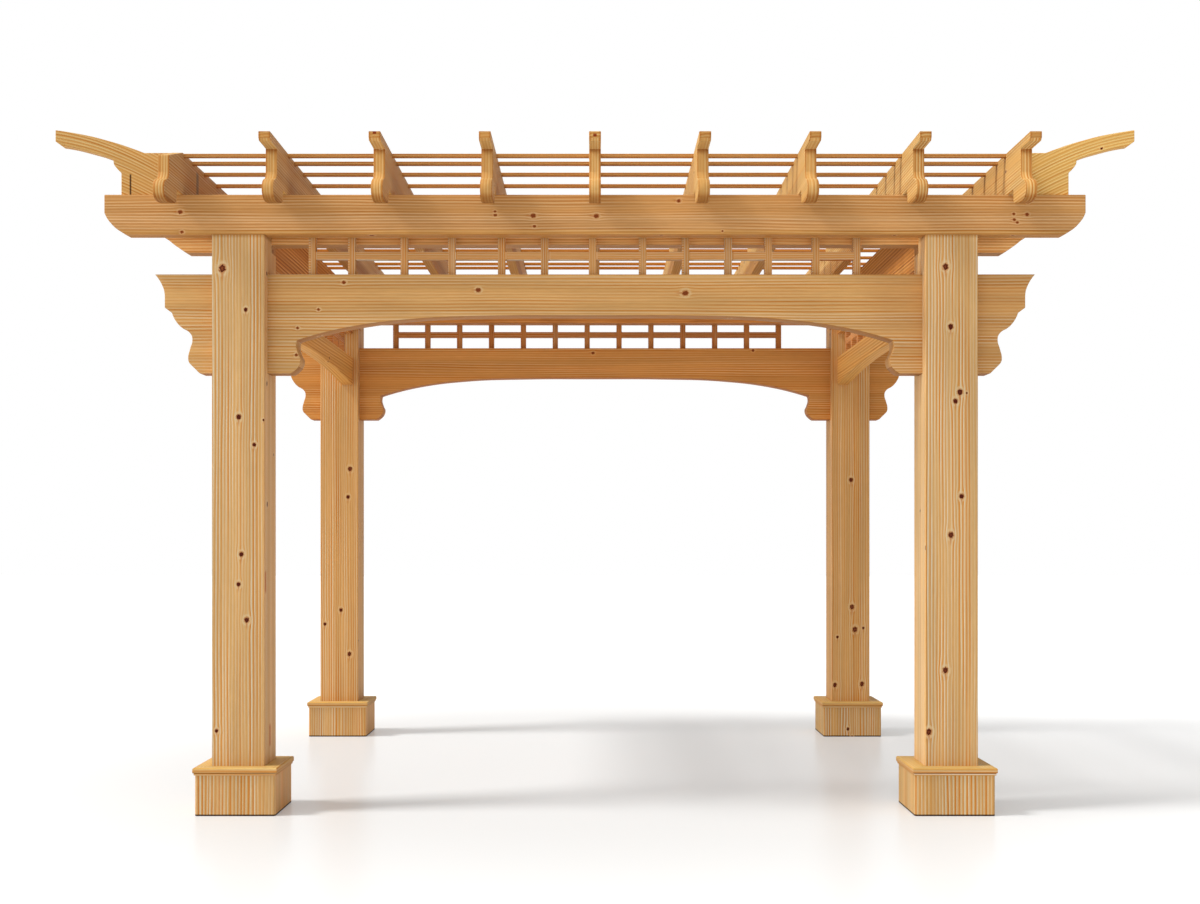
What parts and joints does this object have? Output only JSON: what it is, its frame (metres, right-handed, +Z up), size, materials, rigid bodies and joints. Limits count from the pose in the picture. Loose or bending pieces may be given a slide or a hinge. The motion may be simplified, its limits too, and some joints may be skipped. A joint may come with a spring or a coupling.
{
  "type": "timber pergola",
  "caption": "Free-standing open timber pergola: square posts on boxed feet, arched scrolled beams, paired headers, lattices, shaped rafters, thin roof slats and upswept corner tails.",
  "frame": {"origin": "centre of the footprint, on the ground under the boxed feet", "axes": "+Z up, front towards -Y, +X to the right seen from the front; the rafters run along Y"},
  "size_m": [4.964, 3.633, 3.142],
  "materials": {
    "post_pine": "satin, planed, upright grain",
    "foot_pine": "satin, planed, upright grain",
    "beam_pine": "satin, planed, level grain",
    "lattice_pine": "satin, planed",
    "rafter_pine": "satin, planed, grain along the length",
    "slat_pine": "satin, planed"
  },
  "bodies": {
    "root": {"arched_beam_back": "beam_pine", "arched_beam_front": "beam_pine", "corner_tail_back_left": "rafter_pine", "corner_tail_back_right": "rafter_pine", "corner_tail_front_left": "rafter_pine", "corner_tail_front_right": "rafter_pine", "foot_box_back_left": "foot_pine", "foot_box_back_right": "foot_pine", "foot_box_front_left": "foot_pine", "foot_box_front_right": "foot_pine", "foot_cap_back_left": "foot_pine", "foot_cap_back_right": "foot_pine", "foot_cap_front_left": "foot_pine", "foot_cap_front_right": "foot_pine", "inner_header_back": "beam_pine", "inner_header_front": "beam_pine", "lattice_back": "lattice_pine", "lattice_front": "lattice_pine", "outer_header_back": "beam_pine", "outer_header_front": "beam_pine", "post_back_left": "post_pine", "post_back_right": "post_pine", "post_front_left": "post_pine", "post_front_right": "post_pine", "rafter_1": "rafter_pine", "rafter_2": "rafter_pine", "rafter_3": "rafter_pine", "rafter_4": "rafter_pine", "rafter_5": "rafter_pine", "rafter_6": "rafter_pine", "rafter_7": "rafter_pine", "rafter_8": "rafter_pine", "rafter_9": "rafter_pine", "side_header_left": "beam_pine", "side_header_right": "beam_pine", "side_lattice_left": "lattice_pine", "side_lattice_right": "lattice_pine", "side_rail_left": "beam_pine", "side_rail_right": "beam_pine", "slats_back": "slat_pine", "slats_front": "slat_pine", "slats_middle": "slat_pine"}
  },
  "joints": []
}
